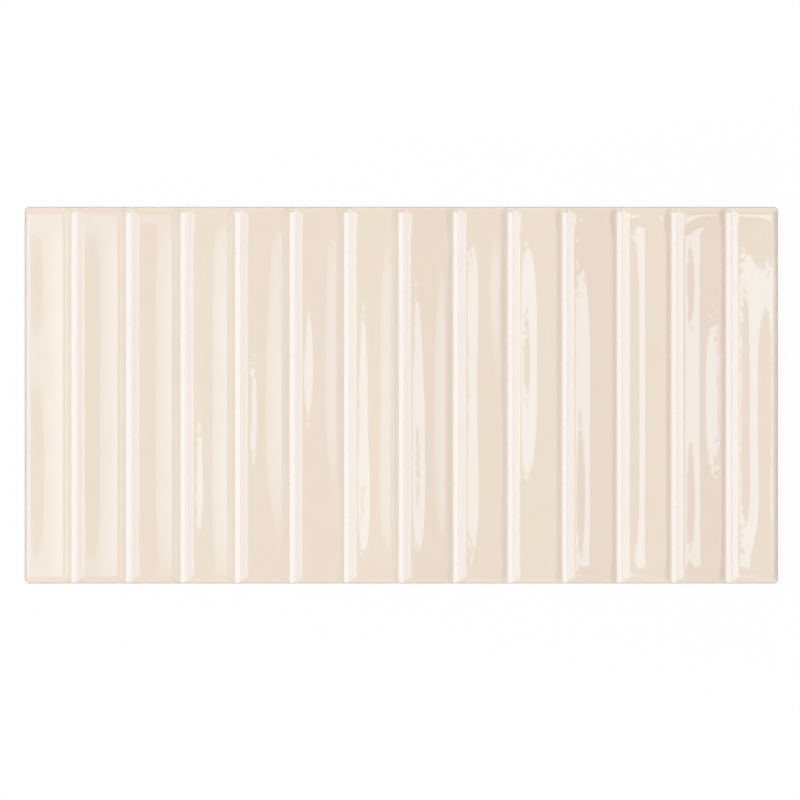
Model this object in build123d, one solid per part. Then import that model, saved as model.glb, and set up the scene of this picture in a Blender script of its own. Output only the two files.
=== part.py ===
from build123d import *
from math import radians, tan
import os

# Pre-scored wall tile: a pressed and glazed ceramic body with a row of dished bars,
# and white grout in the scored grooves between the bars.
# X runs along the long side, Y along the bars, +Z is the glazed face, and the back lies on Z = 0.

# Tile body (mm, degrees); the thickness runs to the ridge lines, before they are rounded
TILE_LENGTH = 250.0
TILE_WIDTH = 125.0
TILE_THICKNESS = 9.0
CORNER_RADIUS = 1.3
SIDE_DRAFT = 3.0
BACK_EDGE_CHAMFER = 0.4

# Bars of the glazed face
BAR_COUNT = 14
BAR_DISH = 0.2
BAR_RIDGE_RADIUS = 0.6
BAR_END_RADIUS = 1.5
SIDE_BEVEL_RUN = 1.7
END_BEVEL_RUN = 1.9
FLANK_SLOPE = 32.0

# Scored grooves, each with a narrow channel along its floor
GROOVE_WIDTH = 6.8
GROOVE_FLOOR_WIDTH = 2.2
GROOVE_FOOT_RADIUS = 0.5
CHANNEL_WIDTH = 1.8
CHANNEL_FLOOR_WIDTH = 1.3
CHANNEL_DEPTH = 1.2
CHANNEL_SETBACK = 1.6

# Grout in the channels
GROUT_HOLLOW = 0.08

# Keyed back: shallow pockets between a border and ribs
POCKET_COLUMNS = 8
POCKET_ROWS = 4
BACK_BORDER = 6.0
RIB_WIDTH = 3.0
POCKET_DEPTH = 0.7
POCKET_DRAFT = 25.0
POCKET_CORNER_RADIUS = 2.0

# Places worked out from the sizes above
GROOVE_COUNT = BAR_COUNT - 1
BAR_WIDTH = (TILE_LENGTH - 2 * SIDE_BEVEL_RUN - GROOVE_COUNT * GROOVE_WIDTH) / BAR_COUNT
BAR_PITCH = BAR_WIDTH + GROOVE_WIDTH
FIRST_RIDGE_X = SIDE_BEVEL_RUN - TILE_LENGTH / 2
FIRST_GROOVE_X = FIRST_RIDGE_X + BAR_WIDTH + GROOVE_WIDTH / 2
FALL = tan(radians(FLANK_SLOPE))
LIP_Z = TILE_THICKNESS - FALL * (GROOVE_WIDTH - GROOVE_FLOOR_WIDTH) / 2
CHANNEL_FLOOR_Z = LIP_Z - CHANNEL_DEPTH
POCKET_LENGTH = (TILE_LENGTH - 2 * BACK_BORDER - (POCKET_COLUMNS - 1) * RIB_WIDTH) / POCKET_COLUMNS
POCKET_WIDTH = (TILE_WIDTH - 2 * BACK_BORDER - (POCKET_ROWS - 1) * RIB_WIDTH) / POCKET_ROWS


def corners_at(profile, height):
    """The corners of a drawn profile that lie at one height."""
    return [corner for corner in profile.vertices() if abs(corner.Y - height) < 1e-6]


def channel_corners(groove_x):
    """The channel of one groove: lip, floor, floor and lip, from left to right."""
    return [
        (groove_x - CHANNEL_WIDTH / 2, LIP_Z),
        (groove_x - CHANNEL_FLOOR_WIDTH / 2, CHANNEL_FLOOR_Z),
        (groove_x + CHANNEL_FLOOR_WIDTH / 2, CHANNEL_FLOOR_Z),
        (groove_x + CHANNEL_WIDTH / 2, LIP_Z),
    ]


def groove_x(index):
    """The middle of one groove, counted from the left."""
    return FIRST_GROOVE_X + index * BAR_PITCH


def side_blank():
    """The plan outline: widest just above the back, drafted towards the face, back edge broken."""
    with BuildPart() as blank:
        with BuildSketch(Plane.XY.offset(BACK_EDGE_CHAMFER)) as plan:
            RectangleRounded(TILE_LENGTH, TILE_WIDTH, CORNER_RADIUS)
        extrude(amount=TILE_THICKNESS - BACK_EDGE_CHAMFER, taper=SIDE_DRAFT)
        extrude(plan.sketch, amount=-BACK_EDGE_CHAMFER, taper=45)
    return blank.part


def bar_section():
    """The long section: dished bars, sloping flanks and groove floors, drawn along the tile."""
    overrun = SIDE_BEVEL_RUN
    skirt_z = TILE_THICKNESS - FALL * (SIDE_BEVEL_RUN + overrun)
    with BuildPart() as section:
        with BuildSketch(Plane.XZ) as profile:
            with BuildLine():
                cursor = (FIRST_RIDGE_X - SIDE_BEVEL_RUN - overrun, skirt_z)
                start = cursor
                for bar in range(BAR_COUNT):
                    left = FIRST_RIDGE_X + bar * BAR_PITCH
                    right = left + BAR_WIDTH
                    Line(cursor, (left, TILE_THICKNESS))
                    hollow = ((left + right) / 2, TILE_THICKNESS - BAR_DISH)
                    ThreePointArc((left, TILE_THICKNESS), hollow, (right, TILE_THICKNESS))
                    cursor = (right, TILE_THICKNESS)
                    if bar < GROOVE_COUNT:
                        foot = (groove_x(bar) - GROOVE_FLOOR_WIDTH / 2, LIP_Z)
                        next_foot = (groove_x(bar) + GROOVE_FLOOR_WIDTH / 2, LIP_Z)
                        Polyline(cursor, foot, next_foot)
                        cursor = next_foot
                end = (-start[0], skirt_z)
                Polyline(cursor, end, (end[0], 0), (start[0], 0), start)
            make_face()
            fillet(corners_at(profile, TILE_THICKNESS), BAR_RIDGE_RADIUS)
            fillet(corners_at(profile, LIP_Z), GROOVE_FOOT_RADIUS)
        extrude(amount=TILE_WIDTH / 2 + overrun, both=True)
    return section.part


def end_section():
    """The cross section: a flat slab with a bevel at each end of the bars."""
    overrun = END_BEVEL_RUN
    ridge_y = TILE_WIDTH / 2 - END_BEVEL_RUN
    skirt_y = TILE_WIDTH / 2 + overrun
    skirt_z = TILE_THICKNESS - FALL * (END_BEVEL_RUN + overrun)
    with BuildPart() as section:
        with BuildSketch(Plane.YZ) as profile:
            with BuildLine():
                Polyline(
                    (-skirt_y, 0),
                    (skirt_y, 0),
                    (skirt_y, skirt_z),
                    (ridge_y, TILE_THICKNESS),
                    (-ridge_y, TILE_THICKNESS),
                    (-skirt_y, skirt_z),
                    close=True,
                )
            make_face()
            fillet(corners_at(profile, TILE_THICKNESS), BAR_END_RADIUS)
        extrude(amount=TILE_LENGTH / 2 + overrun, both=True)
    return section.part


def back_pockets():
    """The pattern of shallow drafted pockets that keys the back to its bed."""
    with BuildPart() as pockets:
        with BuildSketch():
            with GridLocations(
                POCKET_LENGTH + RIB_WIDTH, POCKET_WIDTH + RIB_WIDTH, POCKET_COLUMNS, POCKET_ROWS
            ):
                RectangleRounded(POCKET_LENGTH, POCKET_WIDTH, POCKET_CORNER_RADIUS)
        extrude(amount=POCKET_DEPTH, taper=POCKET_DRAFT)
    return pockets.part


def channels():
    """The scored channels: open at the lower long side and closed short of the upper one."""
    with BuildPart() as cutters:
        with BuildSketch(Plane.XZ.offset(CHANNEL_SETBACK - TILE_WIDTH / 2)):
            for index in range(GROOVE_COUNT):
                corners = channel_corners(groove_x(index))
                left_top = (corners[0][0], TILE_THICKNESS)
                right_top = (corners[-1][0], TILE_THICKNESS)
                with BuildLine():
                    Polyline(left_top, *corners, right_top, close=True)
                make_face()
        extrude(amount=TILE_WIDTH)
    return cutters.part


def grout_strip(index, blank):
    """One run of grout: it fills its channel to the lips, with a slightly hollow face."""
    left_lip, left_floor, right_floor, right_lip = channel_corners(groove_x(index))
    hollow = (groove_x(index), LIP_Z - GROUT_HOLLOW)
    with BuildPart() as strip:
        with BuildSketch(Plane.XZ.offset(CHANNEL_SETBACK - TILE_WIDTH / 2)):
            with BuildLine():
                Polyline(left_lip, left_floor, right_floor, right_lip)
                ThreePointArc(right_lip, hollow, left_lip)
            make_face()
        extrude(amount=TILE_WIDTH)
    return strip.part & blank


def main():
    os.makedirs("parts", exist_ok=True)
    blank = side_blank()
    tile = (blank & bar_section() & end_section()) - back_pockets() - channels()
    export_step(tile, "parts/tile.step")
    for index in range(GROOVE_COUNT):
        export_step(grout_strip(index, blank), f"parts/grout_strip_{index + 1:02d}.step")


main()
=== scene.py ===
"""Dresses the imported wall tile: a wavy glazed face on a bare body, sandy grout and a white stage."""

import math

import bpy
import numpy as np
from bpy.props import FloatProperty, FloatVectorProperty, IntProperty, PointerProperty
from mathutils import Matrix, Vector
from mathutils.geometry import delaunay_2d_cdt


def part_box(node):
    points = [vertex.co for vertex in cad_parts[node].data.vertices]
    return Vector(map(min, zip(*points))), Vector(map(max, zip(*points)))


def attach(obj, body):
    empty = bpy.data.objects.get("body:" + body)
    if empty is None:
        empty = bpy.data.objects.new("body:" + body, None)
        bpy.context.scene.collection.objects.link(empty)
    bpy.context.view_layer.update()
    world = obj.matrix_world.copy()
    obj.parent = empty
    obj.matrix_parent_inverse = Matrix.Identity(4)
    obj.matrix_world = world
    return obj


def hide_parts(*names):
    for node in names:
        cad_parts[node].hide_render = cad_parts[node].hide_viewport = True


bl_info = {
    "name": "Pre-scored wall tile",
    "version": (1, 0, 0),
    "blender": (4, 5, 0),
    "location": "3D View > Sidebar > Wall Tile",
    "description": "Makes the glazed face, bare body, grout and stage of a pre-scored wall tile",
    "category": "Object",
}

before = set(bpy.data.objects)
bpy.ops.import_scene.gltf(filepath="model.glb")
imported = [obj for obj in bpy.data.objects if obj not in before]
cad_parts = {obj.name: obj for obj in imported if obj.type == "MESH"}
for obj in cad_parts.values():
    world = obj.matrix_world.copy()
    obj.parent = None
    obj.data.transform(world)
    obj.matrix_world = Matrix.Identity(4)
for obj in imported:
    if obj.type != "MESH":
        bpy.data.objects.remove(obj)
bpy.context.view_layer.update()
MM = 0.001

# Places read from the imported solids
TILE_LOW, TILE_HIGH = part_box("tile")
STRIP_NODES = sorted(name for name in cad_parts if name.startswith("grout_strip_"))
STRIP_LOW, STRIP_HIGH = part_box(STRIP_NODES[0])
LAST_STRIP_LOW, LAST_STRIP_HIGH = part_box(STRIP_NODES[-1])
GROOVE_COUNT = len(STRIP_NODES)
BAR_COUNT = GROOVE_COUNT + 1
FIRST_GROOVE_X = (STRIP_LOW.x + STRIP_HIGH.x) / 2
LAST_GROOVE_X = (LAST_STRIP_LOW.x + LAST_STRIP_HIGH.x) / 2
BAR_PITCH = (LAST_GROOVE_X - FIRST_GROOVE_X) / (GROOVE_COUNT - 1)
FIRST_BAR_X = FIRST_GROOVE_X - BAR_PITCH / 2
CHANNEL_HALF = (STRIP_HIGH.x - STRIP_LOW.x) / 2
CHANNEL_DEPTH = STRIP_HIGH.z - STRIP_LOW.z
LIP_Z = STRIP_HIGH.z


def colour(red, green, blue):
    """A screen colour from 0 to 255, as the linear colour that sockets and properties hold."""
    screen = np.array([red, green, blue]) / 255
    linear = np.where(screen <= 0.04045, screen / 12.92, ((screen + 0.055) / 1.055) ** 2.4)
    return tuple(float(value) for value in linear)


def amount(name, description, default, **more):
    """A plain number property."""
    return FloatProperty(name=name, description=description, default=default, **more)


def share(name, description, default):
    """A property that runs from none to all."""
    return amount(name, description, default, subtype="FACTOR", min=0, max=1)


def length(name, description, default_mm):
    """A length property whose default is given in millimetres."""
    return amount(name, description, default_mm * MM, unit="LENGTH", precision=5)


def angle(name, description, default_degrees):
    """An angle property whose default is given in degrees."""
    return amount(name, description, math.radians(default_degrees), subtype="ANGLE")


def tint(name, description, *screen_colour):
    """A colour property whose default is given as a screen colour."""
    return FloatVectorProperty(
        name=name, description=description, default=colour(*screen_colour), subtype="COLOR", min=0, max=1
    )


class TileFaceSettings(bpy.types.PropertyGroup):
    """Sizes of the glazed face and of the bare body under it."""

    groove_width: length("Groove width", "Distance between the ridges of neighbouring bars", 6.8)
    groove_floor: length("Groove floor", "Width of the groove between the feet of its flanks", 2.2)
    end_bevel: length("End bevel", "Run of the bevel at the ends of the bars", 1.9)
    channel_floor: length("Channel floor", "Width of the floor of the scored channel", 1.3)
    face_bow: length("Face bow", "How far the ridges sink between the two ends of a bar", 0.05)
    ridge_softness: length("Ridge softness", "Rounding of the ridges along the bars", 0.32)
    end_softness: length("End softness", "Rounding of the ridges at the bar ends", 0.6)
    foot_softness: length("Foot softness", "Rounding where a flank meets the groove floor", 0.38)
    wave_height: length("Wave height", "Height of the long waves in the glaze", 0.02)
    wave_across: length("Wave width", "Length of a wave across a bar", 16.0)
    wave_along: length("Wave length", "Length of a wave along a bar", 42.0)
    wave_seed: IntProperty(name="Wave seed", description="Picks the pattern of waves", default=7)
    side_draft: angle("Side draft", "Slope of the pressed sides", 3.0)
    corner_radius: length("Corner radius", "Rounding of the four corners in plan", 1.3)
    edge_radius: length("Edge radius", "Rounding of the glaze where it turns over the edge", 0.35)
    back_chamfer: length("Back chamfer", "Broken edge around the back", 0.4)
    back_border: length("Back border", "Plain border around the back pockets", 6.0)
    rib_width: length("Rib width", "Ribs between the back pockets", 3.0)
    pocket_depth: length("Pocket depth", "Depth of the back pockets", 0.7)
    pocket_draft: angle("Pocket draft", "Slope of the walls of the back pockets", 25.0)
    pocket_corner: length("Pocket corner", "Corner radius of the back pockets", 2.0)
    pocket_columns: IntProperty(name="Pocket columns", description="Back pockets along the tile", default=8)
    pocket_rows: IntProperty(name="Pocket rows", description="Back pockets across the tile", default=4)
    crease: angle("Crease", "Edges that turn more than this stay sharp", 38.0)


class GlazeSettings(bpy.types.PropertyGroup):
    """Colours and finish of the fired tile."""

    rose: tint("Rose cream", "Glaze colour of most bars", 235, 219, 203)
    pale: tint("Pale cream", "Glaze colour of the first bar", 238, 223, 207)
    honey: tint("Honey cream", "Glaze colour of the yellower bars", 237, 222, 205)
    ash: tint("Ash cream", "Glaze colour of the greyer bars", 233, 216, 200)
    olive: tint("Olive cream", "Colour of the faint clouds in the glaze", 232, 219, 199)
    # Deeper glaze colour at the foot of each flank: partly pooled glaze, partly painted shade in the
    # grooves
    pooled_and_shaded: tint("Pooled glaze", "Glaze where it has run together at the foot of a flank", 230, 209, 191)
    # Grey of the bare body: partly its own colour, partly painted shade along the tile's outline
    body_and_edge_shade: tint("Bare body", "Fired body on the sides and back", 189, 182, 167)
    pale_grain: tint("Pale grain", "Lighter grain of the fired body", 208, 202, 187)
    # How much, and how far up a flank, the foot colour is laid on: pooled glaze and painted shade
    pooling_and_shade: share("Pooling", "How much the glaze deepens at the foot of a flank", 0.35)
    pool_and_shade_rise: length("Pool rise", "How far up a flank the glaze deepens", 0.9)
    clouds: share("Clouds", "How strong the faint clouds are", 0.3)
    mottling: share("Mottling", "How strong the fine mottling is", 0.15)
    glaze_roughness: share("Glaze roughness", "How dull the glaze is", 0.03)
    body_roughness: share("Body roughness", "How dull the bare body is", 0.85)
    ripple_height: length("Ripple height", "Height of the fine ripples along the ridges", 0.022)
    body_grain: length("Body grain", "Height of the grain of the bare body", 0.06)


class GroutSettings(bpy.types.PropertyGroup):
    """Look of the grout."""

    white: tint("Grout white", "Main colour of the grout", 250, 244, 240)
    sand: tint("Grout sand", "Colour of the sand grains in the grout", 243, 234, 229)
    hollow: length("Grout hollow", "Depth of the tooled hollow in the grout", 0.08)
    raggedness: length("Raggedness", "Most that the grout's edge wanders", 0.12)
    grain: length("Grain", "Height of the sand grains", 0.02)
    fine_grain: length("Fine grain", "Height of the finest grains, which only the light shows", 0.01)
    roughness: share("Grout roughness", "How dull the grout is", 0.92)
    seed: IntProperty(name="Grain seed", description="Picks the pattern of grains", default=3)


class StageSettings(bpy.types.PropertyGroup):
    """Camera and studio light."""

    camera_height: length("Camera height", "Height of the camera over the face", 6000.0)
    view_width: length("View width", "Width of the square picture at the face", 265.25)
    view_x: length("View X", "Where the picture's middle lies along the tile", -0.43)
    view_y: length("View Y", "Where the picture's middle lies across the tile", -1.6)
    room_light: amount("Room light", "Strength of the even light", 0.5)
    fill_light: amount("Fill light", "Power of the overhead fill", 11.5, unit="POWER")
    end_fill: amount("End fill", "Power of the low fills at both long sides", 2.1, unit="POWER")
    side_strip: amount("Side strip", "Strength of the low strip on the left", 8.3)
    right_strip: amount("Right strip", "Strength of the low strip on the right", 4.8)
    left_box: amount("Left soft box", "Strength of the left overhead box", 5.9)
    right_box: amount("Right soft box", "Strength of the right overhead box", 5.4)
    box_tint: tint("Soft box tint", "Colour of the overhead boxes", 203, 233, 255)
    side_tint: tint("Side strip tint", "Colour of the low strip on the left", 201, 233, 255)
    right_tint: tint("Right strip tint", "Colour of the low strip on the right", 232, 250, 250)


def settings():
    """The add-on's property groups in the open scene."""
    return bpy.context.scene.wall_tile


# Node tree helpers


def put(tree, value, socket):
    """Links an output to a socket, or writes a plain value on it."""
    if isinstance(value, bpy.types.NodeSocket):
        tree.links.new(value, socket)
    else:
        socket.default_value = value


def calc(tree, operation, *values):
    """Adds one Math node and returns its result."""
    node = tree.nodes.new("ShaderNodeMath")
    node.operation = operation
    for socket, value in zip(node.inputs, values):
        put(tree, value, socket)
    return node.outputs[0]


def ramp(tree, value, from_low, from_high, to_low=0.0, to_high=1.0, smooth=False):
    """Adds one Map Range node and returns its result."""
    node = tree.nodes.new("ShaderNodeMapRange")
    node.interpolation_type = "SMOOTHSTEP" if smooth else "LINEAR"
    for socket, number in zip(node.inputs, (value, from_low, from_high, to_low, to_high)):
        put(tree, number, socket)
    return node.outputs[0]


def point(tree, x, y, z):
    """Adds one Combine XYZ node and returns its vector."""
    node = tree.nodes.new("ShaderNodeCombineXYZ")
    for socket, value in zip(node.inputs, (x, y, z)):
        put(tree, value, socket)
    return node.outputs[0]


def parts_of(tree, vector):
    """Adds one Separate XYZ node and returns its three values."""
    node = tree.nodes.new("ShaderNodeSeparateXYZ")
    put(tree, vector, node.inputs[0])
    return node.outputs


def noise(tree, vector, scale=1.0, detail=2.0):
    """Adds one Noise Texture node and returns its value from 0 to 1."""
    node = tree.nodes.new("ShaderNodeTexNoise")
    put(tree, vector, node.inputs["Vector"])
    put(tree, scale, node.inputs["Scale"])
    put(tree, detail, node.inputs["Detail"])
    return node.outputs[0]


def bump(tree, height, distance, strength=1.0, under=None):
    """Adds one Bump node, over another normal if one is given, and returns its normal."""
    node = tree.nodes.new("ShaderNodeBump")
    put(tree, height, node.inputs["Height"])
    put(tree, distance, node.inputs["Distance"])
    put(tree, strength, node.inputs["Strength"])
    if under is not None:
        tree.links.new(under, node.inputs["Normal"])
    return node.outputs[0]


def blend_colours(tree, blend, first, second):
    """Adds one colour Mix node and returns its colour."""
    node = tree.nodes.new("ShaderNodeMix")
    node.data_type = "RGBA"
    put(tree, blend, node.inputs["Factor"])
    for socket, value in zip((s for s in node.inputs if s.type == "RGBA"), (first, second)):
        put(tree, value if isinstance(value, bpy.types.NodeSocket) else (*value, 1.0), socket)
    return next(s for s in node.outputs if s.type == "RGBA")


def named(tree, name):
    """Adds one Named Attribute node and returns its value."""
    node = tree.nodes.new("GeometryNodeInputNamedAttribute")
    node.data_type = "FLOAT"
    node.inputs["Name"].default_value = name
    return node.outputs["Attribute"]


def geometry_tree(name, values):
    """A new geometry tree with a geometry socket each way and a named input for each value."""
    tree = bpy.data.node_groups.new(name, "GeometryNodeTree")
    tree.interface.new_socket("Geometry", in_out="INPUT", socket_type="NodeSocketGeometry")
    for label, value in values.items():
        kind = "NodeSocketInt" if isinstance(value, int) else "NodeSocketFloat"
        tree.interface.new_socket(label, in_out="INPUT", socket_type=kind)
    tree.interface.new_socket("Geometry", in_out="OUTPUT", socket_type="NodeSocketGeometry")
    source = tree.nodes.new("NodeGroupInput")
    sink = tree.nodes.new("NodeGroupOutput")
    return tree, source.outputs, sink.inputs[0]


def finish_tree(tree, geometry, material, sink):
    """Ends a geometry tree: real geometry, smooth faces and the material."""
    realize = tree.nodes.new("GeometryNodeRealizeInstances")
    smooth = tree.nodes.new("GeometryNodeSetShadeSmooth")
    paint = tree.nodes.new("GeometryNodeSetMaterial")
    paint.inputs["Material"].default_value = material
    tree.links.new(geometry, realize.inputs[0])
    tree.links.new(realize.outputs[0], smooth.inputs[0])
    tree.links.new(smooth.outputs[0], paint.inputs[0])
    tree.links.new(paint.outputs[0], sink)


def run_tree(mesh, tree, values):
    """Runs a geometry tree on a mesh, with its inputs set by name, and returns the plain result."""
    carrier = bpy.data.objects.new(tree.name, mesh)
    bpy.context.scene.collection.objects.link(carrier)
    modifier = carrier.modifiers.new(tree.name, "NODES")
    modifier.node_group = tree
    for item in tree.interface.items_tree:
        if item.in_out == "INPUT" and item.name in values:
            modifier[item.identifier] = values[item.name]
    graph = bpy.context.evaluated_depsgraph_get()
    result = bpy.data.meshes.new_from_object(carrier.evaluated_get(graph))
    carrier.modifiers.remove(modifier)
    bpy.data.objects.remove(carrier)
    return result


def add_piece(name, mesh, nodes):
    """Shows a finished mesh in place of its solids, riding on the part's one body."""
    piece = bpy.data.objects.new(name, mesh)
    bpy.context.scene.collection.objects.link(piece)
    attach(piece, "root")
    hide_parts(*nodes)


# Glazed face


def half_sizes(face):
    """Half length, half width and plan corner radius of the glazed face inside its rounded edge."""
    drawn_in = math.tan(face.side_draft) * (LIP_Z - face.back_chamfer)
    slope = math.atan(flank_fall(face))
    roll = face.edge_radius * (math.cos(face.side_draft) - math.sin(slope))
    inset = drawn_in + roll
    return TILE_HIGH.x - inset, TILE_HIGH.y - inset, face.corner_radius - inset


def flank_fall(face):
    """Drop of a flank for each unit of its run, from ridge to groove floor."""
    return (TILE_HIGH.z - LIP_Z) / ((face.groove_width - face.groove_floor) / 2)


# Rows of points on the face: how many, how they lie around a ridge, a foot and a bar end in millimetres,
# and how far the other rows keep away from them
ROWS_ON_BAR = 14
ROWS_ON_FLANK = 3
ROWS_ON_BEVEL = 4
ROWS_BETWEEN_ENDS = 101
RIDGE_ROWS = np.array([-0.4, -0.27, -0.13, 0.0, 0.13, 0.27, 0.4])
FOOT_ROWS = np.array([-0.3, -0.2, -0.1, 0.0, 0.1])
END_ROWS = np.array([-0.75, -0.5, -0.25, 0.0, 0.25])
RIDGE_CLEAR = 0.55 * MM
FOOT_CLEAR = 0.45 * MM
BEVEL_CLEAR = 0.5 * MM
END_CLEAR = 1.0 * MM
RIM_CLEAR = 0.1 * MM
CHANNEL_STEP = 0.02 * MM


def stations_along(face, half_length):
    """Places along the tile where the face gets a row of points: close at the ridges."""
    bar_half = (BAR_PITCH - face.groove_width) / 2
    flank_run = (face.groove_width - face.groove_floor) / 2
    dish_half = bar_half - RIDGE_CLEAR
    dish = np.linspace(-dish_half, dish_half, ROWS_ON_BAR)
    ridge = bar_half + RIDGE_ROWS * MM
    flank = bar_half + np.linspace(RIDGE_CLEAR, flank_run - FOOT_CLEAR, ROWS_ON_FLANK)
    foot = bar_half + flank_run + FOOT_ROWS * MM
    channel = BAR_PITCH / 2 - np.array([CHANNEL_HALF, face.channel_floor / 2])
    one_side = np.concatenate([ridge, flank, foot, channel])
    bar = np.concatenate([-one_side, dish, one_side])
    centres = FIRST_BAR_X + BAR_PITCH * np.arange(BAR_COUNT)
    places = (centres[:, None] + bar[None, :]).ravel()
    places = places[np.abs(places) < half_length - RIM_CLEAR]
    return np.unique(np.round(np.concatenate([places, [-half_length, half_length]]), 8))


def stations_across(face, half_width):
    """Places across the tile where the face gets a row of points: close at the end bevels."""
    ridge = TILE_HIGH.y - face.end_bevel
    bevel = np.linspace(ridge + BEVEL_CLEAR, half_width, ROWS_ON_BEVEL)
    ends = np.concatenate([ridge + END_ROWS * MM, bevel])
    middle = np.linspace(END_CLEAR - ridge, ridge - END_CLEAR, ROWS_BETWEEN_ENDS)
    channel_end = [STRIP_HIGH.y, STRIP_HIGH.y + CHANNEL_STEP]
    return np.sort(np.concatenate([-ends, middle, ends, channel_end]))


def round_corners(x, y, half_length, half_width, radius):
    """Draws the square corners of a plan grid in to quarter circles."""
    over_x = np.clip(np.abs(x) - (half_length - radius), 0, None)
    over_y = np.clip(np.abs(y) - (half_width - radius), 0, None)
    shrink_x = over_x * (1 - np.sqrt(1 - over_y**2 / (2 * radius**2)))
    shrink_y = over_y * (1 - np.sqrt(1 - over_x**2 / (2 * radius**2)))
    return x - np.sign(x) * shrink_x, y - np.sign(y) * shrink_y


# How each bar was pressed, from left to right, at six places from its upper to its lower end: hollow of its
# left half and of its right half in hundredths of a millimetre, and rise to the right in thousandths
BAR_RELIEFS = (
    ((2, 14, 2, 14, 14, 2), (10, 14, 14, 14, 14, 10), (-5, -5, -5, -5, -5, -5)),
    ((1, 12, 14, 14, 13, 1), (12, 14, 14, 14, 14, 12), (-3, -6, -6, -6, -6, -3)),
    ((8, 14, 14, 14, 14, 8), (5, 14, 14, 14, 14, 5), (-9, -4, -3, -3, -4, -9)),
    ((6, 9, 12, 21, 25, 8), (7, 15, 16, 16, 16, 8), (-7, -5, -5, -5, -5, -7)),
    ((6, 9, 22, 28, 12, 6), (8, 13, 14, 14, 7, 3), (-10, -5, 4, 7, -2, -8)),
    ((5, 10, 20, 13, 6, 4), (7, 13, 14, 12, 6, 4), (-5, -5, -5, -5, -5, -5)),
    ((5, 10, 18, 21, 36, 6), (6, 12, 15, 15, 12, 6), (-1, -1, -1, 0, 4, -1)),
    ((4, 10, 18, 31, 31, 4), (5, 12, 18, 17, 13, 5), (0, 0, 0, 3, 3, 0)),
    ((5, 17, 13, 13, 18, 7), (8, 20, 14, 8, 6, 5), (3, 1, 0, 0, 1, 3)),
    ((2, 17, 25, 16, 3, 3), (5, 15, 20, 15, 8, 5), (8, -3, -6, -5, 6, 8)),
    ((1, 8, 15, 26, 36, 20), (4, 6, 6, 5, 4, 4), (12, 4, 2, 8, 13, 8)),
    ((15, 27, 29, 29, 29, 15), (5, 5, 5, 5, 5, 5), (6, 11, 12, 12, 12, 6)),
    ((12, 32, 18, 22, 34, 14), (3, -2, -8, -8, -2, 3), (8, 17, 14, 14, 17, 8)),
    ((2, 12, 21, 21, 20, 6), (2, 2, 18, 18, 14, 3), (40, 3, 4, 4, 4, 26)),
)
# How far each bar rounds over to a soft shoulder along its left and its right ridge, in tenths
LEFT_SHOULDERS = (10, 10, 10, 10, 10, 10, 10, 10, 10, 10, 8, 3, 10, 10)
RIGHT_SHOULDERS = (0, 1, 2, 2, 3, 4, 5, 5, 6, 7, 8, 8, 9, 14)
# How far from its upper and its lower end the relief of each bar becomes whole, in millimetres
UPPER_RUN_OUTS = (9, 9, 9, 9, 9, 9, 9, 9, 9, 9, 9, 5, 5, 5)
LOWER_RUN_OUTS = (6, 7, 9, 12, 6, 6, 6, 6, 6, 6, 6, 6, 6, 6)
# In tenths of a millimetre: how much sooner the relief runs out along the ridges of each bar than in its
# middle, at both ends, and how much further it runs on at the right than in the middle, at the upper end
END_ARCHES = (0, 0, 0, 0, 0, 0, 0, 0, 0, 0, 10, 14, 14, 8)
UPPER_TILTS = (0, 0, 0, 0, 0, 0, 0, 0, 0, 0, 0, -10, 14, -6)
# Where the relief has run out: short of the upper end of a bar, and past its lower end
UPPER_LEVEL = 1.5 * MM
LOWER_LEVEL = -4.0 * MM
# Half widths from the middle of a bar up to which its ends are arched
ARCH_REACH = 1.2
# Share of its hollow by which a bar rises towards its ridges
RIDGE_RISE = 0.8
TENTH = 0.1 * MM
HUNDREDTH = 0.01 * MM
THOUSANDTH = 0.001


def along_bar(values, bar, place):
    """A value of each point's bar, run smoothly through the places along the bar."""
    last = values.shape[1] - 1
    start = np.clip(np.floor(place), 0, last - 1).astype(int)
    t = place - start
    before, first, second, after = (values[bar, np.clip(start + step, 0, last)] for step in (-1, 0, 1, 2))
    curve = 2 * before - 5 * first + 4 * second - after
    return first + t / 2 * (second - before + t * (curve + t * (3 * (first - second) + after - before)))


def relief_of(face, x, y):
    """How deep the bar under each point is sunk, its hollow there, its lean and its soft shoulder."""
    count = (x - FIRST_BAR_X) / BAR_PITCH
    bar = np.clip(np.round(count), 0, BAR_COUNT - 1).astype(int)
    end = TILE_HIGH.y - face.end_bevel
    reliefs = np.array(BAR_RELIEFS, float)
    place = np.clip((end - y) / (2 * end), 0, 1) * (reliefs.shape[2] - 1)
    left = along_bar(reliefs[:, 0], bar, place) * HUNDREDTH
    right = along_bar(reliefs[:, 1], bar, place) * HUNDREDTH
    lean = along_bar(reliefs[:, 2], bar, place) * THOUSANDTH
    bar_half = (BAR_PITCH - face.groove_width) / 2
    bowl_rise = reliefs[:, :2].max(axis=1) * HUNDREDTH * RIDGE_RISE
    lean_rise = np.abs(reliefs[:, 2]) * THOUSANDTH * bar_half
    depth = (bowl_rise + lean_rise).max(axis=1)[bar]

    # The relief fades out towards both ends of its bar
    whole = np.ones_like(x)
    across = np.clip((count - bar) * BAR_PITCH / bar_half, -ARCH_REACH, ARCH_REACH)
    arch = np.array(END_ARCHES)[bar] * TENTH * across * across
    tilt = np.array(UPPER_TILTS)[bar] * TENTH * across
    for from_end, level, run_outs in (
        (end - y - arch + tilt, UPPER_LEVEL, UPPER_RUN_OUTS),
        (end + y - arch, LOWER_LEVEL, LOWER_RUN_OUTS),
    ):
        run_out = np.array(run_outs)[bar] * MM
        part = np.clip((from_end - level) / (run_out - level), 0, 1)
        whole *= part * part * (3 - 2 * part)
    on_left = count < bar
    shoulder = np.where(on_left, np.array(LEFT_SHOULDERS)[bar], np.array(RIGHT_SHOULDERS)[bar]) / 10
    return whole * (depth + face.face_bow), whole * np.where(on_left, left, right), whole * lean, shoulder


def grid_faces(index):
    """The quads of a grid of points, facing up."""
    quads = np.stack([index[:-1, :-1], index[1:, :-1], index[1:, 1:], index[:-1, 1:]], axis=-1)
    return quads.reshape(-1, 4).tolist()


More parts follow.
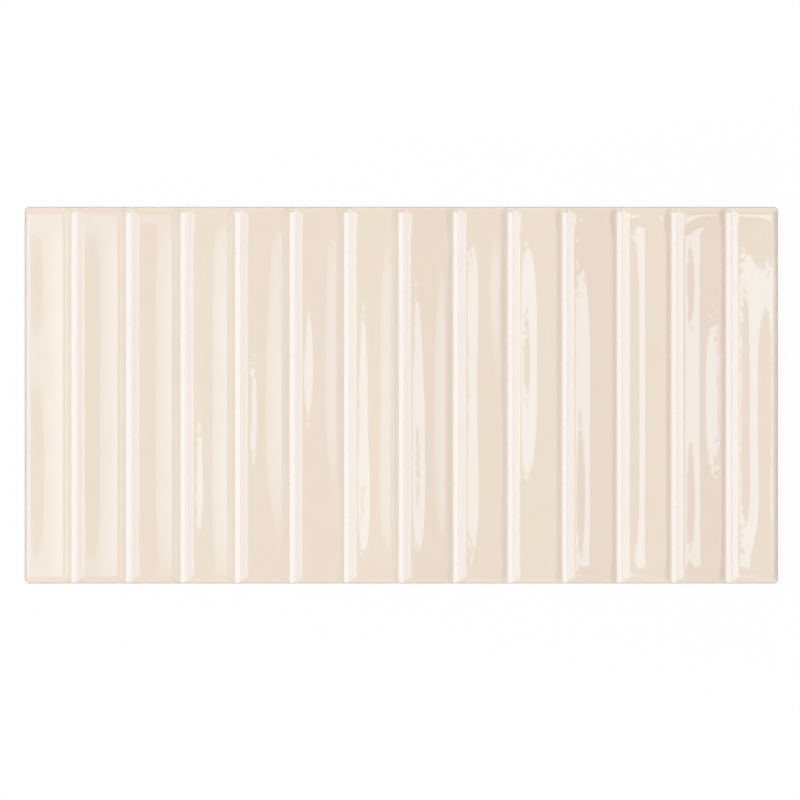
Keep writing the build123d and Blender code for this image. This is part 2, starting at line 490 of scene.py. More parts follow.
def flat_face(face):
    """The plan grid of the glazed face, still flat, with the relief of its bars on its points."""
    half_length, half_width, radius = half_sizes(face)
    along = stations_along(face, half_length)
    across = stations_across(face, half_width)
    x, y = np.meshgrid(along, across, indexing="ij")
    x, y = round_corners(x, y, half_length, half_width, radius)
    points = np.stack([x.ravel(), y.ravel(), np.zeros(x.size)], axis=1)
    index = np.arange(x.size).reshape(x.shape)
    mesh = bpy.data.meshes.new("flat_face")
    mesh.from_pydata(points.tolist(), [], grid_faces(index))
    relief = relief_of(face, x.ravel(), y.ravel())
    for name, values in zip(("sink", "hollow", "lean", "shoulder"), relief):
        mesh.attributes.new(name, "FLOAT", "POINT").data.foreach_set("value", values)
    return mesh, index


# How far apart the wave patterns of neighbouring bars lie, and the wave that leaves a bar as it is
WAVE_STEP = 5.3
WAVE_LEVEL = 0.75
# Power at which a full shoulder ends level at the ridge
SHOULDER_POWER = 3.0


def face_tree(material, values):
    """The rule of the glazed face: dished wavy bars with flanks, end bevels and scored channels."""
    tree, size, sink = geometry_tree("glazed face", values)
    position = tree.nodes.new("GeometryNodeInputPosition").outputs[0]
    x, y, _ = parts_of(tree, position)

    # Which bar a point belongs to, and how far it lies from the middle and the ridge of that bar
    count = calc(tree, "DIVIDE", calc(tree, "SUBTRACT", x, size["First Bar"]), size["Pitch"])
    bar = calc(tree, "ROUND", count)
    bar = calc(tree, "MINIMUM", calc(tree, "MAXIMUM", bar, 0.0), size["Last Bar"])
    middle = calc(tree, "MULTIPLY_ADD", bar, size["Pitch"], size["First Bar"])
    offset = calc(tree, "SUBTRACT", x, middle)
    reach = calc(tree, "ABSOLUTE", offset)
    from_middle = calc(tree, "DIVIDE", offset, size["Bar Half"])
    end_reach = calc(tree, "ABSOLUTE", y)

    # The bar is sunk in its middle, rises to a soft shoulder at each ridge and leans a little
    square = calc(tree, "MULTIPLY", from_middle, from_middle)
    shoulder = calc(tree, "DIVIDE", calc(tree, "POWER", square, SHOULDER_POWER), SHOULDER_POWER)
    shoulder = calc(tree, "MULTIPLY", shoulder, named(tree, "shoulder"))
    bowl = calc(tree, "MULTIPLY", calc(tree, "SUBTRACT", square, shoulder), named(tree, "hollow"))
    top = calc(tree, "ADD", calc(tree, "SUBTRACT", size["Top"], named(tree, "sink")), bowl)
    top = calc(tree, "MULTIPLY_ADD", offset, named(tree, "lean"), top)

    # Long waves make each bar different
    wave_x = calc(tree, "DIVIDE", offset, size["Wave Across"])
    wave_y = calc(tree, "DIVIDE", y, size["Wave Along"])
    field = calc(tree, "MULTIPLY_ADD", bar, WAVE_STEP, size["Seed"])
    swell = noise(tree, point(tree, wave_x, wave_y, field), detail=1.0)
    swell = calc(tree, "MULTIPLY", calc(tree, "SUBTRACT", swell, WAVE_LEVEL), size["Wave Height"])
    top = calc(tree, "ADD", top, swell)

    # Flanks, bar ends and the rounded foot
    outside = calc(tree, "SUBTRACT", reach, size["Bar Half"])
    flank = calc(tree, "SUBTRACT", size["Top"], calc(tree, "MULTIPLY", outside, size["Fall"]))
    past_end = calc(tree, "SUBTRACT", end_reach, size["End Ridge"])
    end = calc(tree, "SUBTRACT", size["Top"], calc(tree, "MULTIPLY", past_end, size["Fall"]))
    height = calc(tree, "SMOOTH_MIN", top, flank, size["Ridge Softness"])
    height = calc(tree, "SMOOTH_MIN", height, end, size["End Softness"])
    height = calc(tree, "SMOOTH_MAX", height, size["Lip"], size["Foot Softness"])
    height = calc(tree, "MINIMUM", height, size["Top"])

    # The channel that holds the grout
    to_groove = calc(tree, "SUBTRACT", calc(tree, "MULTIPLY", size["Pitch"], 0.5), reach)
    cut = ramp(tree, to_groove, size["Channel Half"], size["Floor Half"], 0.0, size["Channel Depth"])
    past_channel = calc(tree, "ADD", size["Channel End"], CHANNEL_STEP)
    is_open = ramp(tree, y, size["Channel End"], past_channel, 1.0, 0.0)
    height = calc(tree, "SUBTRACT", height, calc(tree, "MULTIPLY", cut, is_open))

    shape = tree.nodes.new("GeometryNodeSetPosition")
    tree.links.new(size["Geometry"], shape.inputs["Geometry"])
    put(tree, point(tree, x, y, height), shape.inputs["Position"])
    finish_tree(tree, shape.outputs[0], material, sink)
    return tree


def shaped_face(face, material):
    """The points of the glazed face after its rule has run, and their grid of indices."""
    mesh, index = flat_face(face)
    values = {
        "Top": TILE_HIGH.z,
        "First Bar": FIRST_BAR_X,
        "Pitch": BAR_PITCH,
        "Last Bar": float(GROOVE_COUNT),
        "Bar Half": (BAR_PITCH - face.groove_width) / 2,
        "Fall": flank_fall(face),
        "End Ridge": TILE_HIGH.y - face.end_bevel,
        "Ridge Softness": face.ridge_softness,
        "End Softness": face.end_softness,
        "Foot Softness": face.foot_softness,
        "Lip": LIP_Z,
        "Channel Half": CHANNEL_HALF,
        "Floor Half": face.channel_floor / 2,
        "Channel Depth": CHANNEL_DEPTH,
        "Channel End": STRIP_HIGH.y,
        "Wave Height": face.wave_height,
        "Wave Across": face.wave_across,
        "Wave Along": face.wave_along,
        "Seed": face.wave_seed,
    }
    shaped = run_tree(mesh, face_tree(material, values), values)
    points = np.empty(len(shaped.vertices) * 3)
    shaped.vertices.foreach_get("co", points)
    bpy.data.meshes.remove(shaped)
    bpy.data.meshes.remove(mesh)
    return points.reshape(-1, 3), index


# Bare body


def rim_of(index):
    """The grid's outer points in order, once around against the clock."""
    return np.concatenate([index[:-1, 0], index[-1, :-1], index[:0:-1, -1], index[0, :0:-1]])


def outward(points, half_length, half_width, radius):
    """The plan direction that points out of the tile at each rim point."""
    core = np.array([half_length - radius, half_width - radius])
    away = points[:, :2] - np.clip(points[:, :2], -core, core)
    return away / np.linalg.norm(away, axis=1, keepdims=True)


# Loops of points down the side, and how far the wall's loops keep below the rounded edge
EDGE_LOOPS = 5
WALL_LOOPS = 6
WALL_CLEAR = 0.4 * MM


def wall_loops(face, rim):
    """The loops of points down the side: the glaze's rounded edge, the wall and the back chamfer."""
    half_length, half_width, radius = half_sizes(face)
    out = outward(rim, half_length, half_width, radius)
    slope = math.atan(flank_fall(face))
    upright = math.pi / 2 - face.side_draft
    loops = []
    for turn in np.linspace(slope, upright, EDGE_LOOPS)[1:]:
        push = face.edge_radius * (math.sin(turn) - math.sin(slope))
        drop = face.edge_radius * (math.cos(slope) - math.cos(turn))
        loops.append(np.column_stack([rim[:, :2] + out * push, rim[:, 2] - drop]))
    foot_reach = TILE_HIGH.x - half_length
    lowest = loops[-1][:, 2].min()
    for height in np.linspace(lowest - WALL_CLEAR, face.back_chamfer, WALL_LOOPS):
        push = foot_reach - math.tan(face.side_draft) * (height - face.back_chamfer)
        loops.append(np.column_stack([rim[:, :2] + out * push, np.full(len(rim), height)]))
    push = foot_reach - face.back_chamfer
    loops.append(np.column_stack([rim[:, :2] + out * push, np.zeros(len(rim))]))
    return loops


# Points on each rounded corner of a pocket
CORNER_POINTS = 5


def rounded_box(length_x, length_y, radius):
    """The outline of a rounded rectangle around the origin, against the clock."""
    corners = [(1, 1, 0), (-1, 1, 90), (-1, -1, 180), (1, -1, 270)]
    outline = []
    for side_x, side_y, start in corners:
        for turn in np.radians(np.linspace(start, start + 90, CORNER_POINTS)):
            x = side_x * (length_x / 2 - radius) + radius * math.cos(turn)
            y = side_y * (length_y / 2 - radius) + radius * math.sin(turn)
            outline.append((x, y))
    return np.array(outline)


def pocket_outlines(face):
    """The mouth and the floor outline of every back pocket."""
    rib = face.rib_width
    pocket_x = (2 * TILE_HIGH.x - 2 * face.back_border + rib) / face.pocket_columns - rib
    pocket_y = (2 * TILE_HIGH.y - 2 * face.back_border + rib) / face.pocket_rows - rib
    run = face.pocket_depth * math.tan(face.pocket_draft)
    mouth = rounded_box(pocket_x, pocket_y, face.pocket_corner)
    floor = rounded_box(pocket_x - 2 * run, pocket_y - 2 * run, face.pocket_corner - run)
    for column in range(face.pocket_columns):
        for row in range(face.pocket_rows):
            x = (column - (face.pocket_columns - 1) / 2) * (pocket_x + rib)
            y = (row - (face.pocket_rows - 1) / 2) * (pocket_y + rib)
            yield mouth + (x, y), floor + (x, y)


def ring_edges(start, count):
    """Pairs of neighbours once around a closed ring of places in a list."""
    return [(start + i, start + (i + 1) % count) for i in range(count)]


def strip_faces(upper, lower):
    """Quads between two closed rings of the same count, facing out when both run against the clock."""
    upper_next, lower_next = np.roll(upper, -1), np.roll(lower, -1)
    return np.stack([lower, lower_next, upper_next, upper], axis=1).tolist()


def close_body(face, points, index):
    """Adds sides and a pocketed back to the glazed face, so that the tile is one closed mesh."""
    faces = grid_faces(index)
    blocks = [points]
    count = len(points)
    ring = rim_of(index)
    for loop in wall_loops(face, points[ring]):
        below = np.arange(count, count + len(loop))
        faces += strip_faces(ring, below)
        blocks.append(loop)
        count += len(loop)
        ring = below

    # The back: pockets first, then the ribs and border around their mouths
    flat_index = list(ring)
    flat_points = [tuple(p) for p in blocks[-1][:, :2]]
    edges = ring_edges(0, len(ring))
    mouths = []
    for mouth, floor in pocket_outlines(face):
        lip = np.arange(count, count + len(mouth))
        bed = lip + len(mouth)
        count += 2 * len(mouth)
        blocks.append(np.column_stack([mouth, np.zeros(len(mouth))]))
        blocks.append(np.column_stack([floor, np.full(len(floor), face.pocket_depth)]))
        faces += strip_faces(bed, lip)
        faces.append(bed[::-1].tolist())
        edges += ring_edges(len(flat_index), len(lip))
        flat_index += list(lip)
        flat_points += [tuple(p) for p in mouth]
        mouths.append((mouth.min(axis=0), mouth.max(axis=0)))
    faces += back_faces(flat_points, flat_index, edges, mouths)

    mesh = bpy.data.meshes.new("tile")
    mesh.from_pydata(np.concatenate(blocks).tolist(), [], faces)
    return mesh


def back_faces(flat_points, flat_index, edges, mouths):
    """Triangles of the flat back between the outline and the pocket mouths, facing down."""
    where = [Vector(p) for p in flat_points]
    inside_only, merge_distance = 1, 1e-9
    spots, _, triangles, origins, _, _ = delaunay_2d_cdt(where, edges, [], inside_only, merge_distance)
    mouth_points = 4 * CORNER_POINTS
    found = []
    for triangle in triangles:
        centre = sum((spots[i] for i in triangle), Vector((0, 0))) / len(triangle)
        in_pocket = any(
            low[0] < centre.x < high[0] and low[1] < centre.y < high[1] for low, high in mouths
        )
        corners = [flat_index[origins[i][0]] for i in triangle]
        on_one_mouth = in_pocket and max(corners) - min(corners) < mouth_points
        if not on_one_mouth:
            found.append(corners[::-1])
    return found


# Finishes


def shader_group(name, inputs, outputs):
    """A new shader node group with the named sockets."""
    group = bpy.data.node_groups.new(name, "ShaderNodeTree")
    for label, kind, value in inputs:
        socket = group.interface.new_socket(label, in_out="INPUT", socket_type=kind)
        if value is not None:
            socket.default_value = value
    for label, kind in outputs:
        group.interface.new_socket(label, in_out="OUTPUT", socket_type=kind)
    return group, group.nodes.new("NodeGroupInput").outputs, group.nodes.new("NodeGroupOutput").inputs


# How much the fine grain adds to the tone, and its share of the height
FINE_TONE = 0.6
FINE_HEIGHT = 0.7
GRAIN_DETAIL = 3.0


def clay_grain():
    """Group: coarse and fine grain of fired clay and sand, as a value around one half and as a height."""
    name = "clay grain"
    if name in bpy.data.node_groups:
        return bpy.data.node_groups[name]
    group, given, out = shader_group(
        name,
        [
            ("Point", "NodeSocketVector", None),
            ("Coarse", "NodeSocketFloat", 300.0),
            ("Fine", "NodeSocketFloat", 2500.0),
        ],
        [("Tone", "NodeSocketFloat"), ("Height", "NodeSocketFloat")],
    )
    coarse = noise(group, given["Point"], given["Coarse"], GRAIN_DETAIL)
    fine = noise(group, given["Point"], given["Fine"], GRAIN_DETAIL)
    tone = calc(group, "MULTIPLY_ADD", calc(group, "SUBTRACT", fine, 0.5), FINE_TONE, coarse)
    coarse_height = calc(group, "MULTIPLY", coarse, 1 - FINE_HEIGHT)
    height = calc(group, "MULTIPLY_ADD", fine, FINE_HEIGHT, coarse_height)
    group.links.new(tone, out["Tone"])
    group.links.new(height, out["Height"])
    return group


def place_group(tree, group, **values):
    """Places a node group in a tree with its inputs set."""
    node = tree.nodes.new("ShaderNodeGroup")
    node.node_tree = group
    for label, value in values.items():
        put(tree, value, node.inputs[label])
    return node.outputs


def new_material(name):
    """A node material with its tree, its shader and its object coordinates."""
    material = bpy.data.materials.new(name)
    material.use_nodes = True
    tree = material.node_tree
    shader = next(node for node in tree.nodes if node.type == "BSDF_PRINCIPLED")
    coordinates = tree.nodes.new("ShaderNodeTexCoord").outputs["Object"]
    return material, tree, shader, coordinates


# The glaze of each bar from left to right: p pale, h honey, a ash, r rose
BAR_GLAZES = "prrhrrharhahah"


def bar_tint(tree, x, glaze):
    """The tint of the bar that a point lies on."""
    place = ramp(tree, x, FIRST_BAR_X - BAR_PITCH / 2, FIRST_BAR_X + BAR_PITCH * (BAR_COUNT - 0.5))
    node = tree.nodes.new("ShaderNodeValToRGB")
    stops = node.color_ramp
    stops.interpolation = "CONSTANT"
    tints = {"p": glaze.pale, "h": glaze.honey, "a": glaze.ash, "r": glaze.rose}
    while len(stops.elements) < BAR_COUNT:
        stops.elements.new(1.0)
    for bar, letter in enumerate(BAR_GLAZES):
        stops.elements[bar].position = bar / BAR_COUNT
        stops.elements[bar].color = (*tints[letter], 1.0)
    put(tree, place, node.inputs[0])
    return node.outputs[0]


# Patterns in the glaze: how fine each is, in repeats to the metre, from where to where it comes in,
# and how it is drawn out along the bars, or across them
CLOUD_SCALE = 60.0
CLOUD_RANGE = (0.4, 0.7)
CLOUD_STRETCH = 0.6
MOTTLE_SCALE = 140.0
MOTTLE_RANGE = (0.35, 0.75)
RIPPLE_SCALE = 560.0
RIPPLE_STRETCH = 0.9
# Places from the middle of a bar where the ripples are weakest and strongest, and the weakest of them
RIPPLE_REACH = (2.2 * MM, 5.2 * MM)
WEAKEST_RIPPLE = 0.06
# The line where the glaze ends: how fine it wanders, how far, its place below the lip and its softness
LINE_SCALE = 90.0
LINE_SWING = 1.6 * MM
LINE_DROP = 1.4 * MM
LINE_RANGE = (-0.1 * MM, 0.15 * MM)
# From where to where the pale grain of the body comes in, and the most of it
PALE_RANGE = (0.2, 0.8)
MOST_PALE = 0.35
# The same for the sand in the grout, and how fine its grains are, in repeats to the metre
SAND_RANGE = (0.45, 0.95)
SAND_SCALE = 900.0
FINE_SAND_SCALE = 5200.0


def glazed_material(glaze):
    """Glossy cream glaze on the face and over its edge, bare fired body below it."""
    material, tree, shader, coordinates = new_material("glazed_tile")
    x, y, z = parts_of(tree, coordinates)

    # Glaze: a tint for each bar, soft mottling, and pooled glaze with painted shade at each flank's foot
    tinted = bar_tint(tree, x, glaze)
    pool_and_shade_depth = ramp(tree, z, LIP_Z + glaze.pool_and_shade_rise, LIP_Z, 0.0, glaze.pooling_and_shade, smooth=True)
    pooled_and_shaded = blend_colours(tree, pool_and_shade_depth, tinted, glaze.pooled_and_shaded)
    cloud_point = point(tree, x, calc(tree, "MULTIPLY", y, CLOUD_STRETCH), z)
    cloud = ramp(tree, noise(tree, cloud_point, CLOUD_SCALE), *CLOUD_RANGE, 0.0, glaze.clouds)
    clouded = blend_colours(tree, cloud, pooled_and_shaded, glaze.olive)
    mottle = noise(tree, coordinates, MOTTLE_SCALE, detail=4.0)
    mottle = ramp(tree, mottle, *MOTTLE_RANGE, 0.0, glaze.mottling)
    mottled = blend_colours(tree, mottle, clouded, glaze.pooled_and_shaded)

    # Bare body: below a wandering line on the sides, its grey partly painted shade along the tile's outline
    wander = noise(tree, coordinates, LINE_SCALE, detail=3.0)
    line = calc(tree, "MULTIPLY_ADD", wander, LINE_SWING, LIP_Z - LINE_DROP)
    glazed = ramp(tree, calc(tree, "SUBTRACT", z, line), *LINE_RANGE, smooth=True)
    grain = place_group(tree, clay_grain(), Point=coordinates)
    speckle = ramp(tree, grain["Tone"], *PALE_RANGE, 0.0, MOST_PALE)
    clay = blend_colours(tree, speckle, glaze.body_and_edge_shade, glaze.pale_grain)
    put(tree, blend_colours(tree, glazed, clay, mottled), shader.inputs["Base Color"])
    dullness = ramp(tree, glazed, 0.0, 1.0, glaze.body_roughness, glaze.glaze_roughness)
    put(tree, dullness, shader.inputs["Roughness"])

    # Ripples of the glaze, strongest along the ridges, and the grain of the clay
    count = calc(tree, "DIVIDE", calc(tree, "SUBTRACT", x, FIRST_BAR_X), BAR_PITCH)
    from_middle = calc(tree, "ABSOLUTE", calc(tree, "SUBTRACT", count, calc(tree, "ROUND", count)))
    weak, strong = (reach / BAR_PITCH for reach in RIPPLE_REACH)
    near_ridge = ramp(tree, from_middle, weak, strong, WEAKEST_RIPPLE, 1.0, smooth=True)
    ripple_point = point(tree, calc(tree, "MULTIPLY", x, RIPPLE_STRETCH), y, z)
    ripple = noise(tree, ripple_point, RIPPLE_SCALE, detail=0.0)
    ripple = calc(tree, "MULTIPLY", calc(tree, "SUBTRACT", ripple, 0.5), near_ridge)
    rippled = bump(tree, ripple, glaze.ripple_height, glazed)
    bare = calc(tree, "SUBTRACT", 1.0, glazed)
    put(tree, bump(tree, grain["Height"], glaze.body_grain, bare, rippled), shader.inputs["Normal"])
    return material


def grout_material(grout):
    """Matte white cement with fine sand."""
    material, tree, shader, coordinates = new_material("white_grout")
    grain = place_group(tree, clay_grain(), Point=coordinates, Coarse=SAND_SCALE, Fine=FINE_SAND_SCALE)
    sandy = blend_colours(tree, ramp(tree, grain["Tone"], *SAND_RANGE), grout.white, grout.sand)
    put(tree, sandy, shader.inputs["Base Color"])
    put(tree, grout.roughness, shader.inputs["Roughness"])
    put(tree, 0.2, shader.inputs["Specular IOR Level"])
    put(tree, bump(tree, grain["Height"], grout.fine_grain), shader.inputs["Normal"])
    return material


# Grout: points across the face of a strip, and along it
STRIP_POINTS_ACROSS = 11
STRIP_POINTS_ALONG = 247
# How deep the unevenness of the grout goes, and how fine its edge and its grains are
UNEVEN_DEPTH = 0.4 * MM
EDGE_SCALE = 900.0
SPECK_SCALE = 2200.0


def strip_blank(grout):
    """One closed strip of grout around the middle of its channel, at its real height and length."""
    floor_half = settings().face.channel_floor / 2
    low, high = STRIP_LOW, STRIP_HIGH
    across = np.linspace(CHANNEL_HALF, -CHANNEL_HALF, STRIP_POINTS_ACROSS)
    hollow = grout.hollow * (1 - (across / CHANNEL_HALF) ** 2)
    section = [(-floor_half, low.z), (floor_half, low.z)]
    section += list(zip(across, high.z - hollow))
    along = np.linspace(low.y, high.y, STRIP_POINTS_ALONG)
    points = [(x, y, z) for y in along for x, z in section]
    index = np.arange(len(points)).reshape(len(along), len(section))
    faces = []
    for near, far in zip(index[:-1], index[1:]):
        faces += np.stack([near, np.roll(near, -1), np.roll(far, -1), far], axis=1).tolist()
    faces.append(index[0][::-1].tolist())
    faces.append(index[-1].tolist())
    mesh = bpy.data.meshes.new("strip_blank")
    mesh.from_pydata(points, [], faces)
    return mesh


def grout_tree(material, values):
    """The rule of the grout: one strip for each groove, with ragged edges and a sandy face."""
    tree, size, sink = geometry_tree("grout strips", values)
    line = tree.nodes.new("GeometryNodeMeshLine")
    put(tree, size["Grooves"], line.inputs["Count"])
    put(tree, point(tree, size["First Groove"], 0.0, 0.0), line.inputs["Start Location"])
    put(tree, point(tree, size["Pitch"], 0.0, 0.0), line.inputs["Offset"])
    lay = tree.nodes.new("GeometryNodeInstanceOnPoints")
    tree.links.new(line.outputs[0], lay.inputs["Points"])
    tree.links.new(size["Geometry"], lay.inputs["Instance"])
    realize = tree.nodes.new("GeometryNodeRealizeInstances")
    tree.links.new(lay.outputs[0], realize.inputs[0])

    position = tree.nodes.new("GeometryNodeInputPosition").outputs[0]
    x, y, z = parts_of(tree, position)
    buried = calc(tree, "SUBTRACT", size["Face Height"], UNEVEN_DEPTH)
    exposed = ramp(tree, z, buried, size["Face Height"])
    edge = noise(tree, point(tree, x, y, size["Seed"]), EDGE_SCALE)
    shift = calc(tree, "MULTIPLY", calc(tree, "SUBTRACT", edge, 0.5), size["Raggedness"])
    speck = noise(tree, position, SPECK_SCALE)
    lift = calc(tree, "MULTIPLY", calc(tree, "SUBTRACT", speck, 0.5), size["Grain"])
    move = tree.nodes.new("GeometryNodeSetPosition")
    tree.links.new(realize.outputs[0], move.inputs["Geometry"])
    across = calc(tree, "MULTIPLY", shift, exposed)
    upward = calc(tree, "MULTIPLY", lift, exposed)
    put(tree, point(tree, across, 0.0, upward), move.inputs["Offset"])
    finish_tree(tree, move.outputs[0], material, sink)
    return tree


# Operators


class MakeTile(bpy.types.Operator):
    """Make the fired tile: its glazed face by rule, then its sides and its keyed back"""

    bl_idname = "wall_tile.make_tile"
    bl_label = "Make Tile"

    def execute(self, context):
        face, glaze = settings().face, settings().glaze
        material = glazed_material(glaze)
        points, index = shaped_face(face, material)
        mesh = close_body(face, points, index)
        mesh.materials.append(material)
        mesh.shade_smooth()
        mesh.set_sharp_from_angle(angle=face.crease)
        add_piece("glazed_tile", mesh, ["tile"])
        return {"FINISHED"}


class MakeGrout(bpy.types.Operator):
    """Make the grout strips in the scored grooves"""

    bl_idname = "wall_tile.make_grout"
    bl_label = "Make Grout"

    def execute(self, context):
        grout = settings().grout
        material = grout_material(grout)
        values = {
            "Grooves": GROOVE_COUNT,
            "First Groove": FIRST_GROOVE_X,
            "Pitch": BAR_PITCH,
            "Face Height": LIP_Z,
            "Raggedness": grout.raggedness,
            "Grain": grout.grain,
            "Seed": grout.seed,
        }
        mesh = run_tree(strip_blank(grout), grout_tree(material, values), values)
        mesh.name = "grout_lines"
        add_piece("grout_lines", mesh, STRIP_NODES)
        return {"FINISHED"}


# Stage


def add_plane(name, half_x, half_y):
    """A flat rectangle around the origin, facing up."""
    mesh = bpy.data.meshes.new(name)
    corners = [(-half_x, -half_y, 0), (half_x, -half_y, 0), (half_x, half_y, 0), (-half_x, half_y, 0)]
    mesh.from_pydata(corners, [], [(0, 1, 2, 3)])
    plane = bpy.data.objects.new(name, mesh)
    bpy.context.scene.collection.objects.link(plane)
    return plane


def seen_directly(tree):
    """One for rays that show the background itself: from the camera, in gloss or through glass."""
    path = tree.nodes.new("ShaderNodeLightPath").outputs
    seen = calc(tree, "MAXIMUM", path["Is Camera Ray"], path["Is Glossy Ray"])
    return calc(tree, "MAXIMUM", seen, path["Is Transmission Ray"])


def bare_material(plane):
    """Gives a plane a node material without nodes, and returns its tree."""
    material = bpy.data.materials.new(plane.name)
    material.use_nodes = True
    material.node_tree.nodes.clear()
    plane.data.materials.append(material)
    return material.node_tree


def mix_surface(tree, blend, first, second):
    """Makes a mix of two shader nodes the surface of a material."""
    mixed = tree.nodes.new("ShaderNodeMixShader")
    put(tree, blend, mixed.inputs[0])
    tree.links.new(first.outputs[0], mixed.inputs[1])
    tree.links.new(second.outputs[0], mixed.inputs[2])
    output = tree.nodes.new("ShaderNodeOutputMaterial")
    tree.links.new(mixed.outputs[0], output.inputs[0])


# The floor: half its length, its place below the back, its whiteness and how much of it is plain white
FLOOR_HALF = 5.0
FLOOR_DROP = 0.05 * MM
FLOOR_WHITE = 0.95
PLAIN_WHITE = 0.94


def white_floor():
    """A white floor that keeps a light shadow of the tile."""
    floor = add_plane("floor", FLOOR_HALF, FLOOR_HALF)
    floor.location.z = -FLOOR_DROP
    tree = bare_material(floor)
    matte = tree.nodes.new("ShaderNodeBsdfDiffuse")
    matte.inputs["Color"].default_value = (FLOOR_WHITE, FLOOR_WHITE, FLOOR_WHITE, 1.0)
    white = tree.nodes.new("ShaderNodeEmission")
    mix_surface(tree, calc(tree, "MULTIPLY", seen_directly(tree), PLAIN_WHITE), matte, white)


def room_light(strength):
    """An even white room, and plain white behind the tile."""
    world = bpy.data.worlds.new("white_room")
    bpy.context.scene.world = world
    world.use_nodes = True
    tree = world.node_tree
    background = next(node for node in tree.nodes if node.type == "BACKGROUND")
    background.inputs["Color"].default_value = (1.0, 1.0, 1.0, 1.0)
    put(tree, ramp(tree, seen_directly(tree), 0.0, 1.0, strength, 1.0), background.inputs["Strength"])


def fill_light(name, place, size, power):
    """A soft lamp that looks at the tile and isn't mirrored in the glaze."""
    data = bpy.data.lights.new(name, "AREA")
    data.energy = power
    data.size = size
    lamp = bpy.data.objects.new(name, data)
    lamp.location = place
    lamp.rotation_euler = (-lamp.location).to_track_quat("-Z", "Y").to_euler()
    lamp.visible_glossy = False
    lamp.visible_camera = False
    bpy.context.scene.collection.objects.link(lamp)


# How square the rim of a soft box is: 2 is an ellipse, and more comes closer to a rectangle
RIM_POWER = 4.0


def soft_box(name, place, target, half_size, edge, strength, light, dim_end=1.0, upright="Y"):
    """A lit panel that looks at a point, fading over its edge, and dimmer towards one end if asked."""
    half_x, half_y = half_size
    panel = add_plane(name, half_x, half_y)
    aim = (Vector(target) - Vector(place)).to_track_quat("Z", upright)
    panel.rotation_euler = aim.to_euler()
    panel.location = place
    panel.visible_camera = False
    panel.visible_shadow = False
    panel.visible_diffuse = False
    tree = bare_material(panel)
    x, y, _ = parts_of(tree, tree.nodes.new("ShaderNodeTexCoord").outputs["Object"])
    across = calc(tree, "ABSOLUTE", calc(tree, "DIVIDE", x, half_x))
    along = calc(tree, "ABSOLUTE", calc(tree, "DIVIDE", y, half_y))
    rim = calc(tree, "ADD", calc(tree, "POWER", across, RIM_POWER), calc(tree, "POWER", along, RIM_POWER))
    fade = ramp(tree, rim, 1.0, (1 - edge / half_x) ** RIM_POWER, smooth=True)
    lamp = tree.nodes.new("ShaderNodeEmission")
    put(tree, ramp(tree, x, -half_x, half_x, strength * dim_end, strength), lamp.inputs["Strength"])
    lamp.inputs["Color"].default_value = (*light, 1.0)
    mix_surface(tree, fade, tree.nodes.new("ShaderNodeBsdfTransparent"), lamp)


def studio_light(stage):
    """Fill lamps, a low strip at each end of the tile and two soft boxes overhead."""
    fill_light("overhead_fill", place=(-0.35, 0.0, 1.6), size=0.5, power=stage.fill_light)
    fill_light("back_fill", place=(0.0, 1.0, 0.27), size=0.3, power=stage.end_fill)
    fill_light("front_fill", place=(0.0, -1.0, 0.27), size=0.3, power=stage.end_fill)
    soft_box(
        "side_strip",
        place=(-0.635, 0.0, 0.545),
        target=(0.0, 0.0, 0.0),
        half_size=(0.335, 0.13),
        edge=0.03,
        strength=stage.side_strip,
        light=stage.side_tint,
        dim_end=0.42,
        upright="X",
    )
    # Black below the right strip keeps the right-facing flanks dark
    soft_box(
        "right_flag",
        place=(0.45, 0.0, 0.095),
        target=(0.0, 0.0, 0.095),
        half_size=(0.095, 0.12),
        edge=0.01,
        strength=0.0,
        light=stage.right_tint,
        upright="X",
    )
    soft_box(
        "right_strip",
        place=(0.45, 0.0, 0.275),
        target=(0.0, 0.0, 0.275),
        half_size=(0.085, 0.12),
        edge=0.002,
        strength=stage.right_strip,
        light=stage.right_tint,
        dim_end=0.0,
        upright="X",
    )
    soft_box(
        "left_box",
        place=(-0.248, 0.0, 2.5),
        target=(-0.248, 0.0, 0.0),
        half_size=(0.15, 0.3),
        edge=0.004,
        strength=stage.left_box,
        light=stage.box_tint,
        dim_end=0.48,
    )
    soft_box(
        "right_box",
        place=(0.195, 0.0, 2.5),
        target=(0.195, 0.0, 0.0),
        half_size=(0.082, 0.13),
        edge=0.002,
        strength=stage.right_box,
        light=stage.box_tint,
    )


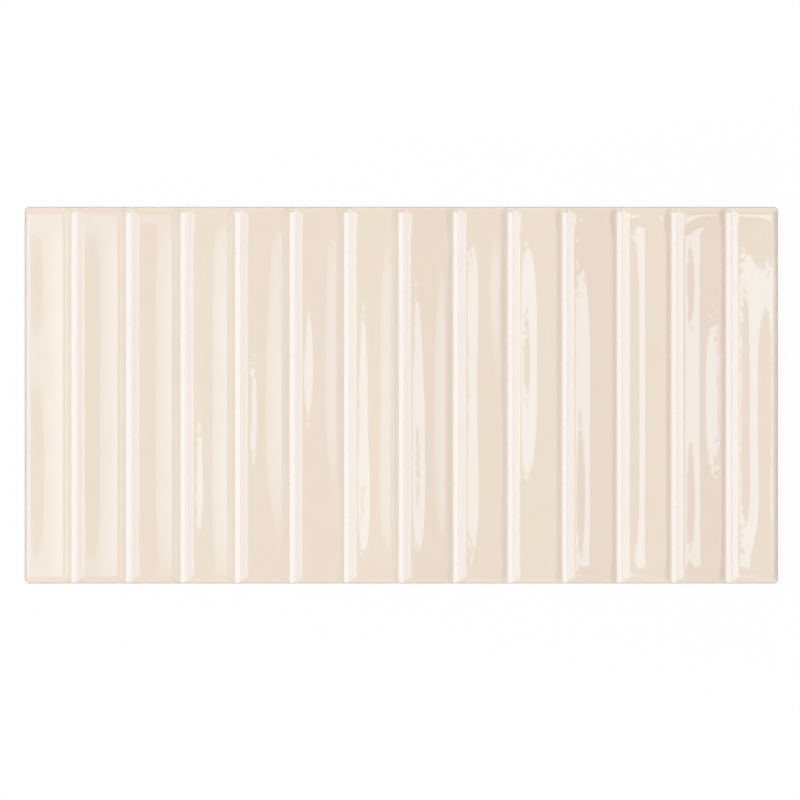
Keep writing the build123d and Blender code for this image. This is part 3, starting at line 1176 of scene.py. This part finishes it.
def overhead_camera(stage):
    """A long lens straight over the tile, with the upper long side at the top of the picture."""
    data = bpy.data.cameras.new("overhead")
    data.sensor_width = 36.0
    data.lens = data.sensor_width * stage.camera_height / stage.view_width
    data.clip_end = 50.0
    camera = bpy.data.objects.new("overhead", data)
    camera.location = (stage.view_x, stage.view_y, TILE_HIGH.z + stage.camera_height)
    bpy.context.scene.collection.objects.link(camera)
    bpy.context.scene.camera = camera


class MakeStage(bpy.types.Operator):
    """Make the white floor, the studio light and the overhead camera"""

    bl_idname = "wall_tile.make_stage"
    bl_label = "Make Stage"

    def execute(self, context):
        stage = settings().stage
        context.scene.view_settings.view_transform = "Standard"
        white_floor()
        room_light(stage.room_light)
        studio_light(stage)
        overhead_camera(stage)
        return {"FINISHED"}


class WallTilePanel(bpy.types.Panel):
    """Sizes, colours and steps of the wall tile"""

    bl_idname = "VIEW3D_PT_wall_tile"
    bl_label = "Wall Tile"
    bl_space_type = "VIEW_3D"
    bl_region_type = "UI"
    bl_category = "Wall Tile"

    def draw(self, context):
        for maker in OPERATORS:
            self.layout.operator(maker.bl_idname)
        for group in (settings().face, settings().glaze, settings().grout, settings().stage):
            box = self.layout.box()
            for name in group.__annotations__:
                box.prop(group, name)


class WallTileSettings(bpy.types.PropertyGroup):
    """All settings of the wall tile."""

    face: PointerProperty(type=TileFaceSettings)
    glaze: PointerProperty(type=GlazeSettings)
    grout: PointerProperty(type=GroutSettings)
    stage: PointerProperty(type=StageSettings)


OPERATORS = (MakeTile, MakeGrout, MakeStage)
CLASSES = (
    TileFaceSettings,
    GlazeSettings,
    GroutSettings,
    StageSettings,
    WallTileSettings,
    *OPERATORS,
    WallTilePanel,
)


def register():
    """Adds the classes and the settings to the program."""
    for cls in CLASSES:
        bpy.utils.register_class(cls)
    bpy.types.Scene.wall_tile = PointerProperty(type=WallTileSettings)


def unregister():
    """Takes the settings and the classes out of the program."""
    del bpy.types.Scene.wall_tile
    for cls in reversed(CLASSES):
        bpy.utils.unregister_class(cls)


def main():
    """Makes the tile, the grout and the stage."""
    register()
    bpy.ops.wall_tile.make_tile()
    bpy.ops.wall_tile.make_grout()
    bpy.ops.wall_tile.make_stage()


if __name__ == "__main__":
    main()
